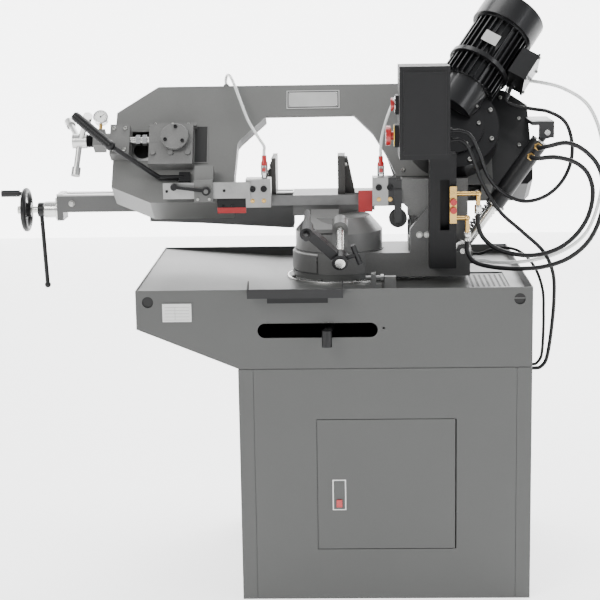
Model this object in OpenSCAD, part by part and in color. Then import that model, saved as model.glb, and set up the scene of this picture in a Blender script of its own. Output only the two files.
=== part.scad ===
// Metal-cutting band saw with a swivelling head, a fixed vise bed and a
// sheet-metal cabinet. Millimetres, +Z up, origin on the floor at the
// centre of the cabinet. The operator stands on the -Y side.

/* [Cabinet] */
// outside width of the cabinet
cabinet_w = 750; // [700:5:800]
// outside depth of the cabinet and casing
cabinet_d = 700; // [650:5:740]
// height of the cabinet
cabinet_h = 619; // [580:1:619]
// thickness of the sheet metal
sheet = 3; // [2:0.5:4]
// width of the door
door_w = 350; // [300:2:350]
// height of the door
door_h = 347; // [300:1:347]

/* [Casing and tray] */
// height of the casing rim above the floor
rim_z = 827; // [815:1:840]
// reach of the casing to the left of the centre
casing_reach = 632; // [600:1:660]
// height of the tray floor
tray_z = 800; // [790:1:800]

/* [Head] */
// backward lean of the head plane in degrees
head_tilt = 32; // [32:0.5:32]
// inner radius of the blade on the wheels
blade_r = 153; // [150:0.5:153]
// running gap between the wheels and the blade
blade_gap = 0.3; // [0.2:0.05:0.6]
// width of the band wheels
wheel_w = 30; // [28:1:32]
// thickness of the blade
blade_t = 0.9; // [0.6:0.1:1.1]
// width of the blade
blade_w = 27; // [20:1:27]
// radius of the gearbox
gearbox_r = 125; // [110:1:126]
// radius of the motor fins
motor_r = 80; // [70:1:86]

/* [Vise] */
// left end of the vise bed
bed_left = -895; // [-900:1:-860]
// height of the vise bed
bed_z = 1020; // [1015:1:1020]
// radius of the lead screw
screw_r = 9; // [8:0.5:10]
// radius of the handwheel
handwheel_r = 62; // [55:1:70]

/* [Fits] */
// running gap between a shaft and its bore
fit = 0.05; // [0.02:0.01:0.08]

/* [Hidden] */
$fn = 48;
half_w = cabinet_w / 2;
half_d = cabinet_d / 2;
door_x = door_w / 2;
door_z = 138;
casing_z = cabinet_h + 3;
end_z = rim_z - 100;
wheel_r = blade_r - blade_gap;
// blade line on the table, and the two wheel centres in the head plane
head_z = 1009;
wheel_v = 155;
idler_x = -566;
drive_x = 191;
// axis of the turntable and axis of the head hinge
turn_x = -115;
pivot_x = 165;
pivot_z = 975;
// axis of the blade tension screw in the head plane
tension_d = -75;
tension_v = 150;
// gas damper between the head (upper pin) and the swivel arm (lower pin)
upper_pin = [437, -75, 1192];
lower_pin = [215, -75, 880];
damper_len = norm(upper_pin - lower_pin);
damper_tilt = atan2(upper_pin[0] - lower_pin[0], upper_pin[2] - lower_pin[2]);

// outline of the head plate, x along the saw and v up the plane
head_outline = [
  [-611, 324], [-723, 245], [-724, 205], [-736, 198], [-734, 126], [-728, 103],
  [-729, 20], [-622, -28], [-400, -28], [-397, 31], [-392, 97], [-388, 148],
  [-380, 160], [-312, 228], [-72, 229], [-21, 173], [12, 113], [38, 54],
  [40, 42], [230, 42], [230, 15], [393, 15], [407, 29], [409, 81],
  [402, 252], [345, 296], [230, 324], [21, 324]
];
cover_outline = [
  [-611, 324], [-723, 245], [-724, 205], [-736, 198], [-734, 126], [-728, 103],
  [-729, 20], [-622, -28], [-404, -28], [-404, 280], [-40, 280], [0, 200],
  [20, 150], [40, 80], [60, 52], [236, 52], [236, 15], [393, 15],
  [407, 29], [409, 81], [402, 252], [345, 296], [230, 324], [21, 324]
];

// routes of the hoses and cables
hose_upper_route = [
  [250, -166, 990], [250, -166, 976], [250, -166, 962], [262, -166, 928],
  [295, -163, 898], [345, -158, 880], [405, -154, 876], [465, -152, 894],
  [510, -150, 930], [540, -150, 980], [550, -150, 1040], [535, -152, 1090],
  [500, -156, 1120], [450, -164, 1134], [410, -158, 1131], [392.9, -139, 1130.1],
  [392.9, -125, 1130.1], [392.9, -111.1, 1130.1]
];
hose_lower_route = [
  [222, -166, 918], [222, -166, 904], [222, -166, 890], [240, -166, 862],
  [285, -166, 848], [350, -166, 842], [420, -166, 846], [485, -168, 868],
  [535, -170, 910], [565, -172, 970], [575, -172, 1040], [562, -172, 1105],
  [525, -172, 1150], [478, -178, 1172], [432, -172, 1164], [411.5, -147, 1156.1],
  [411.5, -129, 1156.1], [411.5, -111.1, 1156.1]
];
motor_cable_route = [
  [183.1, -156, 1205], [193, -156, 1205], [203, -156, 1205], [230, -154, 1192],
  [254, -145, 1145], [278, -132, 1085], [315, -124, 1040], [370, -122, 1015],
  [425, -122, 1025], [470, -115, 1060], [498, -95, 1110], [505, -65, 1165],
  [490, -35, 1215], [450, -12, 1240], [405, -2, 1248], [362, 8, 1256],
  [339.6, 18.1, 1269.1], [347, 31, 1288.5], [354.7, 40.9, 1304.4]
];
control_cable_route = [
  [183.1, -156, 1181], [193, -156, 1181], [203, -156, 1181], [223, -155, 1165],
  [242, -150, 1120], [266, -146, 1060], [310, -142, 990], [370, -138, 935],
  [425, -134, 882], [452, -130, 822], [456, -126, 750], [452, -120, 680],
  [446, -114, 620], [438, -110, 580], [424, -110, 563], [412, -110, 560],
  [401, -110, 560], [391.1, -110, 560]
];
pump_cable_route = [
  [251.1, 20, 853], [262, 20, 853], [273, 20, 853], [300, 22, 862], [335, 28, 868],
  [380, 10, 858], [415, -20, 822], [435, -45, 765], [437, -60, 700],
  [436, -65, 640], [432, -65, 585], [420, -65, 564], [411, -65, 560],
  [401, -65, 560], [391.1, -65, 560]
];
coolant_hose_route = [
  [352, 140, 1286], [362, 134, 1306], [392, 120, 1316], [440, 100, 1312],
  [500, 75, 1296], [560, 45, 1255], [592, 15, 1180], [598, -10, 1090],
  [585, -30, 1000], [548, -45, 915], [480, -50, 866], [390, -50, 842],
  [310, -50, 840], [278, -50, 844.5], [269, -50, 845], [260, -50, 845],
  [251.1, -50, 845]
];
tube_left_route = [
  [-424, 143, 1315], [-426, 152, 1328], [-421, 140, 1341], [-412, 120, 1341],
  [-400, 92, 1322], [-382, 62, 1280], [-358, 22, 1225], [-330, -22, 1185],
  [-313, -48, 1162], [-313, -48, 1149], [-313, -48, 1137.1]
];
tube_right_route = [
  [-1, -48, 1131.1], [-1, -48, 1141], [-1, -48, 1151], [4, -32, 1185],
  [16, -8, 1225], [30, 22, 1258], [40, 46, 1277], [44, 67, 1275], [44, 84, 1264.3]
];

// a block between two limits on each axis
module block(x0, x1, y0, y1, z0, z1) {
  translate([x0, y0, z0])
    cube([x1 - x0, y1 - y0, z1 - z0]);
}

// round bars along the three axes
module bar_x(x0, x1, y, z, r) {
  translate([x0, y, z])
    rotate([0, 90, 0])
      cylinder(h = x1 - x0, r = r);
}

module bar_y(x, y0, y1, z, r) {
  translate([x, y1, z])
    rotate([90, 0, 0])
      cylinder(h = y1 - y0, r = r);
}

module bar_z(x, y, z0, z1, r) {
  translate([x, y, z0])
    cylinder(h = z1 - z0, r = r);
}

// a flat outline in x and z, thick along y
module slab_y(y0, y1) {
  translate([0, y1, 0])
    rotate([90, 0, 0])
      linear_extrude(y1 - y0)
        children();
}

// a flat outline in y and z, thick along x
module slab_x(x0, x1) {
  translate([x0, 0, 0])
    rotate([90, 0, 90])
      linear_extrude(x1 - x0)
        children();
}

// a round bar between two points
module link(p, q, r) {
  v = q - p;
  translate(p)
    rotate([0, acos(v[2] / norm(v)), atan2(v[1], v[0])])
      cylinder(h = norm(v), r = r);
}

// the leaning head plane: x along the saw, y out of the plane, z up it
module head() {
  translate([0, 0, head_z])
    rotate([-head_tilt, 0, 0])
      children();
}

// the motor axis, which leans to the right in the head plane
module motor_axis() {
  head()
    translate([252, -122, 304])
      rotate([0, head_tilt, 0])
        children();
}

// the damper axis, with z = 0 at the upper pin
module damper_axis() {
  translate(upper_pin)
    rotate([0, damper_tilt, 0])
      children();
}

// the length-stop rod, which leans down to the front
module stop_axis() {
  translate([-111, -130, 957])
    rotate([108, 0, 0])
      children();
}

// a point between two route points on a smooth curve
function smooth(a, b, c, d, t) =
  0.5 * (2 * b + (c - a) * t + (2 * a - 5 * b + 4 * c - d) * t * t
  + (3 * b - a - 3 * c + d) * t * t * t);

// the route with one more point in every stretch
function finer(p) = [
  for (i = [0:len(p) - 2])
    for (t = [0, 0.5])
      smooth(p[max(i - 1, 0)], p[i], p[i + 1], p[min(i + 2, len(p) - 1)], t),
  p[len(p) - 1]
];

function unit(v) = v / norm(v);

// the direction of the route at point i
function along(p, i) = unit(p[min(i + 1, len(p) - 1)] - p[max(i - 1, 0)]);

// a direction across the route that turns with it
function across(p, i) = i == 0
  ? unit(cross(along(p, 0), [0.31, 0.83, 0.46]))
  : let (u = across(p, i - 1), t = along(p, i)) unit(u - (u * t) * t);

// one solid tube of radius r along a route, with n sides
module tube(route, r, n) {
  p = finer(route);
  m = len(p);
  pts = [
    for (i = [0:m - 1])
      let (t = along(p, i), u = across(p, i), w = cross(t, u))
        for (k = [0:n - 1])
          p[i] + r * (cos(360 * k / n) * u + sin(360 * k / n) * w)
  ];
  sides = [
    for (i = [0:m - 2])
      for (k = [0:n - 1])
        [i * n + k, (i + 1) * n + k, (i + 1) * n + (k + 1) % n, i * n + (k + 1) % n]
  ];
  polyhedron(
    points = pts,
    faces = concat(
      [[for (k = [0:n - 1]) k]],
      sides,
      [[for (k = [n - 1:-1:0]) (m - 1) * n + k]]
    )
  );
}

// a hexagon bolt head
module hex_head(size, h) {
  cylinder(h = h, r = size / sqrt(3), $fn = 6);
}

// ---------- cabinet ----------

module cabinet_side() {
  block(-half_w, -half_w + sheet, -half_d, half_d, 0, cabinet_h);
  block(-half_w, -half_w + 38, -half_d, -half_d + sheet, 0, cabinet_h);
  block(-half_w, -half_w + 38, half_d - sheet, half_d, 0, cabinet_h);
}

module cabinet_sides() color("gray") {
  cabinet_side();
  mirror([1, 0, 0])
    cabinet_side();
  bar_x(half_w, half_w + 16, -110, 560, 10);
  bar_x(half_w, half_w + 16, -65, 560, 10);
}

// a panel between the flanges with a lap strip behind each seam
module cabinet_panel() {
  block(-half_w + 39, half_w - 39, -half_d, -half_d + sheet, 0, cabinet_h);
  for (s = [-1, 1])
    translate([s * (half_w - 29), 0, 0])
      block(-15, 15, -half_d + sheet, -half_d + 2 * sheet, 5, cabinet_h - 5);
}

module cabinet_front() color("gray")
  difference() {
    union() {
      cabinet_panel();
      block(-door_x - 14, door_x + 14, -half_d + sheet, -half_d + 2 * sheet,
        door_z - 16, door_z + door_h + 16);
    }
    block(-door_x - 2, door_x + 2, -half_d - 1, -half_d + sheet, door_z - 2, door_z + door_h + 2);
    block(-door_x + 10, door_x - 10, -half_d, -half_d + 20, door_z + 10, door_z + door_h - 10);
    bar_z(door_x + 2, -half_d + 4.2, door_z - 1, door_z + door_h + 1, 7.6);
  }

module cabinet_back() color("gray") {
  mirror([0, 1, 0])
    cabinet_panel();
}

module cabinet_floor() color("gray")
  difference() {
    block(-half_w + sheet, half_w - sheet, -half_d + 6, half_d - 6, 0, 25);
    block(-half_w + 6, half_w - 6, -half_d + 9, half_d - 9, sheet, 26);
    for (x = [-320, 320], y = [-290, 290])
      bar_z(x, y, -1, 10, 7);
  }

module cabinet_door() color("silver") {
  difference() {
    union() {
      block(-door_x, door_x - 6, -half_d, -half_d + 2, door_z, door_z + door_h);
      block(-134, -105, -half_d - 3, -half_d, 246, 322);
    }
    block(-127, -112, -half_d - 4, -half_d + 3, 252, 272);
  }
  block(-door_x + 12, door_x - 16, -half_d + 2, -half_d + 14, door_z + 12, door_z + 30);
  block(-door_x + 12, door_x - 16, -half_d + 2, -half_d + 14,
    door_z + door_h - 30, door_z + door_h - 12);
  difference() {
    union() {
      bar_z(door_x + 2, -half_d + 4.2, door_z, door_z + door_h, 4.2);
      block(door_x - 7, door_x + 2, -half_d, -half_d + 2, door_z, door_z + door_h);
    }
    bar_z(door_x + 2, -half_d + 4.2, door_z - 1, door_z + door_h + 1, 2 + fit);
  }
}

module latch_button() color("red")
  block(-126.9, -112.1, -half_d - 6, -half_d - 0.3, 252.1, 271.9);

// ---------- casing and tray ----------

module casing_outline() {
  polygon([
    [-casing_reach, rim_z], [-casing_reach, end_z], [-half_w, casing_z],
    [half_w, casing_z], [half_w, rim_z]
  ]);
}

module casing_front() color("gray") {
  block(-567, -487, -half_d - 0.8, -half_d, 743, 796);
  difference() {
    slab_y(-half_d, -half_d + sheet)
      casing_outline();
    block(-304, -36, -half_d - 1, -half_d + 4, 701.5, 739.5);
    bar_y(-304, -half_d - 1, -half_d + 4, 720.5, 19);
    bar_y(-36, -half_d - 1, -half_d + 4, 720.5, 19);
    bar_y(-601, -half_d - 1, -half_d + 4, 797, 14.5);
    bar_y(342, -half_d - 1, -half_d + 4, 797, 14.5);
    bar_y(-2, -half_d - 1, -half_d + 4, 725, 3);
  }
}

module casing_shell() color("gray") {
  difference() {
    block(-half_w + 2, half_w - 2, -half_d + 2, half_d - 2, cabinet_h, casing_z);
    block(-half_w + 50, half_w - 50, -half_d + 50, half_d - 50, cabinet_h - 1, casing_z + 1);
  }
  slab_y(half_d - sheet, half_d)
    casing_outline();
  slab_y(-half_d + sheet, half_d - sheet)
    polygon([
      [-casing_reach, rim_z], [-casing_reach, end_z], [-half_w, casing_z],
      [-half_w + 40, casing_z], [-half_w + 40, casing_z + 3], [-half_w + 0.6, casing_z + 3],
      [-casing_reach + 3, end_z + 2], [-casing_reach + 3, rim_z]
    ]);
  block(half_w - sheet, half_w, -half_d + sheet, half_d - sheet, casing_z, rim_z);
  block(half_w - 40, half_w - sheet, -half_d + sheet, half_d - sheet, casing_z, casing_z + 3);
}

module tray_pan() color("gray") {
  difference() {
    slab_y(-half_d + sheet, half_d - sheet)
      polygon([
        [half_w - sheet, tray_z], [-290, tray_z], [-casing_reach + 3, rim_z - 3],
        [-casing_reach + 3, rim_z - 6], [-290, tray_z - 3], [half_w - sheet, tray_z - 3]
      ]);
    block(228, 332, -196, 29, tray_z - 10, tray_z + 10);
    bar_z(turn_x, 0, tray_z - 10, tray_z + 10, 25.2);
  }
  for (s = [-1, 1])
    translate([turn_x + 130 * s, 0, 0])
      difference() {
        block(-25, 25, -half_d + sheet, half_d - sheet, tray_z - 60, tray_z - 3);
        block(-22, 22, -half_d + 2, half_d - 2, tray_z - 57, tray_z - 6);
      }
}

module drain_screen() color("dimgray")
  difference() {
    block(220, 340, -204, 37, tray_z - 5, tray_z - 3);
    for (i = [0:6], j = [0:13])
      bar_z(238 + 14 * i, -186 + 14 * j, tray_z - 9, tray_z, 4, $fn = 12);
  }

module offcut_shelf() color("black") {
  block(-297, -143, -half_d - 3, -half_d, 792, 815);
  slab_x(-345, -104)
    polygon([
      [-350, 812], [-350, 815], [-391, 815], [-398, 837], [-400.5, 836.4], [-393, 812]
    ]);
  for (x = [-345, -107])
    slab_x(x, x + 3)
      polygon([[-350, 812], [-350, 850], [-400, 837], [-393, 812]]);
}

module miter_stop() color("black") {
  block(-47, -3, -214, -186, tray_z, tray_z + 12);
  difference() {
    block(-31, -19, -214, -186, tray_z + 12, tray_z + 41);
    bar_x(-32, -18, -200, tray_z + 28, 6);
  }
  bar_x(-45, -6, -200, tray_z + 28, 6);
  translate([-6, -200, tray_z + 28])
    rotate([0, 90, 0])
      hex_head(17, 8);
  block(4, 34, -212, -188, tray_z, tray_z + 32);
}

module coolant_tank() color("darkgray") {
  difference() {
    block(-200, 200, 60, 320, 3, 120);
    block(-196, 196, 64, 316, 7, 121);
  }
  block(-202, 202, 58, 322, 120, 123);
  bar_z(90, 190, 123, 135, 60);
  bar_z(90, 190, 135, 250, 48);
  bar_z(90, 190, 250, 262, 52);
  bar_z(90, 190, 20, 120, 40);
}

// ---------- turntable and vise ----------

module turntable_base() color("dimgray") {
  difference() {
    union() {
      bar_z(turn_x, 0, tray_z, tray_z + 6, 142);
      bar_z(turn_x, 0, tray_z + 6, 822, 126);
    }
    bar_z(turn_x, 0, tray_z - 1, 823, 25.2);
  }
  for (a = [22.5:45:360])
    translate([turn_x + 134 * cos(a), 134 * sin(a), tray_z + 6])
      hex_head(10, 5);
}

module pivot_post() color("silver") {
  bar_z(turn_x, 0, 690, 881, 25 - fit);
  bar_z(turn_x, 0, 785, tray_z - 3, 40);
  bar_z(turn_x, 0, 692, 711, 36, $fn = 6);
}

module miter_lock_lever() color("black") {
  difference() {
    bar_z(turn_x, 0, 712, 728, 38);
    bar_z(turn_x, 0, 711, 729, 25);
  }
  translate([turn_x, 0, 720])
    rotate([0, 0, -94.6])
      translate([30, -9, -5])
        cube([322, 18, 10]);
  link([-142, -340, 720], [-145, -378, 720], 7);
  bar_z(-146, -388, 686, 728, 13);
}

module vise_table() color("slategray")
  difference() {
    vise_casting();
    stop_axis()
      translate([0, 0, -98])
        cylinder(h = 160, r = 10 + fit);
  }

module vise_casting() {
  bar_z(turn_x, 0, 881, 930, 118);
  translate([turn_x, 0, 930])
    cylinder(h = 38, r1 = 118, r2 = 85);
  translate([turn_x, 0, 965])
    linear_extrude(bed_z - 965)
      polygon([[-125, 12], [2, 12], [100, 112], [100, 165], [-125, 165]]);
  slab_x(-190, -115)
    polygon([[-15, 960], [-15, 985], [-120, 945], [-120, 935]]);
  block(-132, -90, -140, -100, 900, 950);
  stop_axis()
    translate([0, 0, -22])
      cylinder(h = 44, r = 21);
}

module bed_profile() {
  polygon([
    [bed_left, bed_z], [bed_left, 972], [-642, 972], [-642, 943], [-500, 937],
    [-255, 921], [-240, 921], [-240, bed_z]
  ]);
}

module vise_bed() color("gray") {
  difference() {
    slab_y(85, 165)
      bed_profile();
    block(bed_left - 1, -239, 97, 153, 900, bed_z - 12);
    block(-880, -243, 115, 135, bed_z - 20, bed_z + 1);
  }
  difference() {
    block(bed_left - 7, bed_left + 10, 85, 165, 948, bed_z + 2);
    bar_x(bed_left - 8, bed_left + 11, 125, 975, screw_r + fit);
  }
}

module fixed_jaw() color("dimgray") {
  block(-117, -97, 28, 116, bed_z, 1125);
  for (y = [52, 94])
    translate([0, y, 0])
      slab_y(0, 12)
        polygon([[-97, bed_z], [-97, 1117], [-90, 1117], [-70, bed_z]]);
}

module lead_screw() color("silver") {
  bar_x(-1012, -243, 125, 975, screw_r);
  bar_x(bed_left - 46, bed_left - 10, 125, 975, 23);
}

module handwheel() color("black") {
  translate([-1002, 125, 975])
    rotate([0, 90, 0])
      rotate_extrude()
        translate([handwheel_r - 8, 7])
          circle(r = 8);
  difference() {
    bar_x(-1010, -980, 125, 975, 20);
    bar_x(-1013, -979, 125, 975, screw_r);
  }
  for (a = [30, 150, 270])
    translate([0, 125, 975])
      rotate([a, 0, 0])
        link([-998, 0, 16], [-995, 0, handwheel_r - 10], 6);
  bar_x(-1062, -1002, 125, 975 + 46, 5);
  bar_x(-1064, -1012, 125, 975 + 46, 9.5);
}

module movable_jaw() color("dimgray") {
  block(-298, -286, 28, 165, 1022, 1121);
  for (y = [96, 144])
    translate([0, y, 0])
      slab_y(0, 12)
        polygon([[-298, 1030], [-298, 1085], [-306, 1085], [-350, 1030]]);
  block(-430, -298, 88, 162, bed_z + 0.3, 1030);
  block(-425, -395, 115.3, 134.7, 1000, bed_z + 1);
  difference() {
    block(-425, -395, 105, 145, 960, 1006);
    bar_x(-426, -394, 125, 975, screw_r + 0.3);
  }
}

module clamp_lever() color("black") {
  difference() {
    bar_x(bed_left - 66, bed_left - 50, 125, 975, 20);
    bar_x(bed_left - 67, bed_left - 49, 125, 975, screw_r + fit);
  }
  link([bed_left - 58, 125, 957], [bed_left - 50, 125, 762], 6);
  translate([bed_left - 50, 125, 760])
    sphere(r = 9);
}

module stop_rod() color("silver") {
  stop_axis()
    translate([0, 0, -40])
      cylinder(h = 255, r = 10);
  stop_axis()
    translate([0, 0, 215])
      cylinder(h = 4, r = 13);
}

module stop_arm() color("black") {
  stop_axis() {
    difference() {
      translate([0, 0, 178])
        cylinder(h = 36.5, r = 21);
      translate([0, 0, 177])
        cylinder(h = 39, r = 10 + fit);
    }
    rotate([0, 0, 135])
      translate([18, -12.5, 182])
        cube([112, 25, 25]);
    rotate([0, 0, 135]) {
      difference() {
        translate([118, 0, 172])
          cylinder(h = 45, r = 17);
        translate([118, 0, 171])
          cylinder(h = 47, r = 8);
      }
      translate([118, 0, 90])
        cylinder(h = 150, r = 8);
    }
    rotate([0, 0, 20])
      translate([18, 0, 196]) {
        rotate([0, 90, 0])
          cylinder(h = 26, r = 6);
        translate([26, -28, 0])
          rotate([-90, 0, 0])
            cylinder(h = 56, r = 7);
      }
  }
}

// ---------- swivel ----------

module swivel_arm() color("dimgray") {
  difference() {
    union() {
      bar_z(turn_x, 0, 822.3, 880, 122);
      block(turn_x, 235, -100, 100, 813, 877);
      slab_y(75, 100)
        polygon([
          [75, 877], [235, 877], [235, 940], [200, 1008], [130, 1008], [75, 940]
        ]);
      slab_y(-100, -75)
        polygon([
          [75, 877], [186, 877], [186, 915], [205, 930], [205, 985], [195, 1008],
          [130, 1008], [75, 940]
        ]);
    }
    bar_z(turn_x, 0, 812, 881, 25);
    bar_z(turn_x, 0, 812, 822.3, 127);
    block(20, 205, -85, 85, 812, 864);
    block(186, 236, -91, -59, 850, 881);
  }
  difference() {
    bar_z(turn_x, 0, 826, 872, 127);
    bar_z(turn_x, 0, 825, 873, 122);
    block(turn_x - 60, turn_x + 200, -200, 200, 820, 880);
    block(turn_x - 200, turn_x, 60, 200, 820, 880);
  }
  bar_y(pivot_x, -100, 100, pivot_z, 15 - fit);
  block(72, 96, -60, -30, 870, 915);
  bar_z(84, -45, 915, 964, 7);
  translate([84, -45, 963.7])
    hex_head(19, 8);
  bar_y(lower_pin[0], -98, -52, lower_pin[2], 8);
  block(203, 228, -100, -91, 876, 893);
  block(203, 228, -59, -50, 876, 893);
  bar_y(240, 95, 103.9, 884, 9);
  bar_x(235, 251, -50, 845, 8);
  bar_x(235, 251, 20, 853, 8);
}

module control_post() color("black") {
  difference() {
    block(124, 194, -158, -100, 843, 1146);
    block(152, 176, -160, -150, 945, 1078);
    block(130, 188, -152, -106, 850, 1139);
  }
  block(130, 188, -114, -106, 850, 1139);
}

module control_box() color("black") {
  difference() {
    block(42, 169, -300, -140, 1146, 1379);
    block(46, 165, -296, -144, 1150, 1375);
    bar_x(40, 50, -220, 1201, 11);
    bar_x(40, 50, -220, 1280, 12);
  }
  block(53, 158, -303, -300, 1159, 1366);
  bar_x(169, 183, -156, 1205, 9);
  bar_x(169, 183, -156, 1181, 9);
  difference() {
    block(31, 42, -246, -194, 1173, 1229);
    bar_x(30, 43, -220, 1201, 11);
  }
  difference() {
    block(33, 42, -244, -196, 1256, 1304);
    bar_x(32, 43, -220, 1280, 12);
  }
}

module emergency_button() color("red") {
  bar_x(30, 52, -220, 1201, 11 - fit);
  bar_x(9, 21, -220, 1201, 25);
  translate([21, -220, 1201])
    rotate([0, 90, 0])
      cylinder(h = 3, r1 = 25, r2 = 11 - fit);
  bar_x(23, 31, -220, 1201, 11 - fit);
}

module start_button() color("red") {
  bar_x(27, 52, -220, 1280, 12 - fit);
  bar_x(22, 27, -220, 1280, 17);
}

module hydraulic_manifold() color("goldenrod") {
  block(176, 194, -174, -158, 965, 1062);
  for (q = [[222, 978, 918], [250, 1042, 990]]) {
    bar_x(194, q[0], -166, q[1], 6);
    translate([q[0], -166, q[1]])
      sphere(r = 8);
    bar_z(q[0], -166, q[2] + 20, q[1], 6);
    bar_z(q[0], -166, q[2], q[2] + 22, 9);
  }
}

// ---------- head ----------

// a point of an open outline moved to its left by w, mitred at corners
function side(a, b) = let (t = unit(b - a)) [-t[1], t[0]];

function inset(p, k, w) =
  let (
    m = side(p[max(k - 1, 0)], p[max(k, 1)]),
    n = side(p[min(k, len(p) - 2)], p[min(k + 1, len(p) - 1)])
  )
    p[k] + w * (m + n) / (1 + m * n);

// a strip of sheet on the left of an open outline
module strip(p, w) {
  n = len(p);
  polygon(concat(p, [for (k = [n - 1:-1:0]) inset(p, k, w)]));
}

module head_frame() color("gray") {
  head() {
    difference() {
      slab_y(-55, -52)
        polygon(head_outline);
      block(-678, -632, -60, -50, 98, 186);
      block(-588, -532, -60, -50, 133, 177);
      bar_y(drive_x, -60, -50, wheel_v, 24);
    }
    slab_y(-52, 50)
      strip(concat([[270, 15]], [for (i = [21:27]) head_outline[i]],
        [for (i = [0:8]) head_outline[i]]), 3);
    slab_y(-52, -45)
      strip([for (i = [9:17]) head_outline[i]], 3);
    slab_y(-45, -10)
      strip([for (i = [9:13]) head_outline[i]], 3);
  }
  block(418, 455, -91, -85, 1178, 1221);
  block(418, 455, -65, -59, 1178, 1221);
  block(396, 455, -91, 80, 1211, 1221);
  bar_y(upper_pin[0], -91, -59, upper_pin[2], 8);
  head() {
    bar_z(-424, -40, 321, 334, 8);
    bar_z(352, -20, 290, 306, 9);
    bar_y(44, -64, -55, 261, 7);
  }
}

module rear_cover() color("gray") {
  head() {
    slab_y(50, 53)
      polygon(cover_outline);
    block(311, 337, 53, 58, -12, 60);
  }
  bar_y(323.6, 52, 103.9, 983.6, 8);
}

module pivot_bracket() color("dimgray") {
  difference() {
    union() {
      slab_y(-74.5, -62.5)
        polygon([[54, 1071.9], [54, 1010], [120, 945], [190, 940], [230, 975], [230, 1071.9]]);
      slab_y(62.5, 74.5)
        polygon([[90, 1020], [90, 975], [120, 945], [190, 940], [230, 975], [230, 1020]]);
      block(54, 230, -74.5, -15, 1064, 1071.9);
      block(70, 104, -62.5, -28, 972, 990);
      bar_y(pivot_x, -74.5, 74.5, pivot_z, 25);
      bar_y(pivot_x, -74.5, -45, pivot_z, 32);
      bar_y(pivot_x, 45, 74.5, pivot_z, 32);
    }
    bar_y(pivot_x, -75, 75, pivot_z, 15);
    head()
      bar_y(drive_x, -140, -54.9, wheel_v, gearbox_r + 0.1);
  }
  head()
    block(60, 225, -52, -47, 36, 75);
}

module gearbox() color("black") {
  head()
    difference() {
      union() {
        bar_y(drive_x, -130, -55, wheel_v, gearbox_r);
        bar_y(drive_x, -138, -130, wheel_v, gearbox_r - 40);
        bar_y(231, -146, -138, 218, 22);
      }
      bar_y(drive_x, -101, -54, wheel_v, 20 + fit);
    }
  motor_axis()
    difference() {
      translate([0, 0, -120])
        cylinder(h = 146, r = 62);
      translate([-150, -8, -200])
        cube([300, 150, 95]);
    }
}

module motor() color("black") {
  motor_axis() {
    difference() {
      translate([0, 0, 26])
        cylinder(h = 12, r = 87);
      translate([-100, 66.8, 20])
        cube([200, 40, 30]);
    }
    translate([0, 0, 38])
      cylinder(h = 116, r = motor_r - 12);
    for (i = [0:27])
      rotate([0, 0, i * 360 / 28])
        translate([motor_r - 14, -1.5, 38])
          cube([14, 3, 116]);
    translate([0, 0, 152])
      cylinder(h = 8, r = motor_r + 2);
    difference() {
      translate([0, 0, 158])
        cylinder(h = 70, r = 90);
      translate([0, 0, 162])
        cylinder(h = 61, r = 87);
      for (r = [30, 45, 60], a = [0:30:330])
        rotate([0, 0, a])
          translate([r, 0, 220])
            cylinder(h = 12, r = 4, $fn = 12);
    }
    translate([0, 0, 160])
      cylinder(h = 40, r = 18);
  }
}

module terminal_box() color("black")
  motor_axis() {
    translate([motor_r + 0.1, -42, 44])
      cube([46, 84, 84]);
    translate([motor_r + 46.1, -45, 41])
      cube([6, 90, 90]);
    translate([104, 0, 28])
      cylinder(h = 16, r = 9);
  }

module band_ring(x) {
  translate([x, 0, wheel_v])
    rotate([90, 0, 0])
      difference() {
        cylinder(h = blade_w, r = blade_r + blade_t, center = true, $fn = 96);
        cylinder(h = blade_w + 2, r = blade_r, center = true, $fn = 96);
        translate([x < 0 ? 0 : -2 * blade_r, -2 * blade_r, -blade_w])
          cube([2 * blade_r, 4 * blade_r, 2 * blade_w]);
      }
}

// how upright the blade is at x: 0 on the wheels, 1 between the guides
function upright(x) =
  let (t = max(0, min(1, x < -160
    ? (x - idler_x) / (-365 - idler_x)
    : (drive_x - x) / (drive_x - 42))))
    3 * t * t - 2 * t * t * t;

// the lower stretch of the blade, turned from lying to upright and back
module lower_stretch() {
  stations = concat(
    [for (i = [0:10]) idler_x + (-365 - idler_x) * i / 10],
    [for (i = [0:10]) 42 + (drive_x - 42) * i / 10]
  );
  n = len(stations) - 1;
  pts = [
    for (x = stations)
      let (
        t = upright(x),
        a = -head_tilt - (90 - head_tilt) * t,
        low = (wheel_v - blade_r - blade_t / 2) * (1 - t),
        y = low * sin(head_tilt),
        z = head_z + low * cos(head_tilt) - 0.5 * t
      )
        for (q = [[-1, -1], [1, -1], [1, 1], [-1, 1]])
          [
            x,
            y + q[0] * blade_w / 2 * cos(a) - q[1] * blade_t / 2 * sin(a),
            z + q[0] * blade_w / 2 * sin(a) + q[1] * blade_t / 2 * cos(a)
          ]
  ];
  sides = [
    for (i = [0:n - 1])
      for (k = [0:3])
        [(i + 1) * 4 + k, (i + 1) * 4 + (k + 1) % 4, i * 4 + (k + 1) % 4, i * 4 + k]
  ];
  polyhedron(
    points = pts,
    faces = concat([[0, 1, 2, 3]], sides, [[for (k = [3:-1:0]) n * 4 + k]])
  );
}

module saw_blade() color("silver") {
  head() {
    band_ring(idler_x);
    band_ring(drive_x);
    block(idler_x, drive_x, -blade_w / 2, blade_w / 2,
      wheel_v + blade_r, wheel_v + blade_r + blade_t);
  }
  lower_stretch();
}

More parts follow.
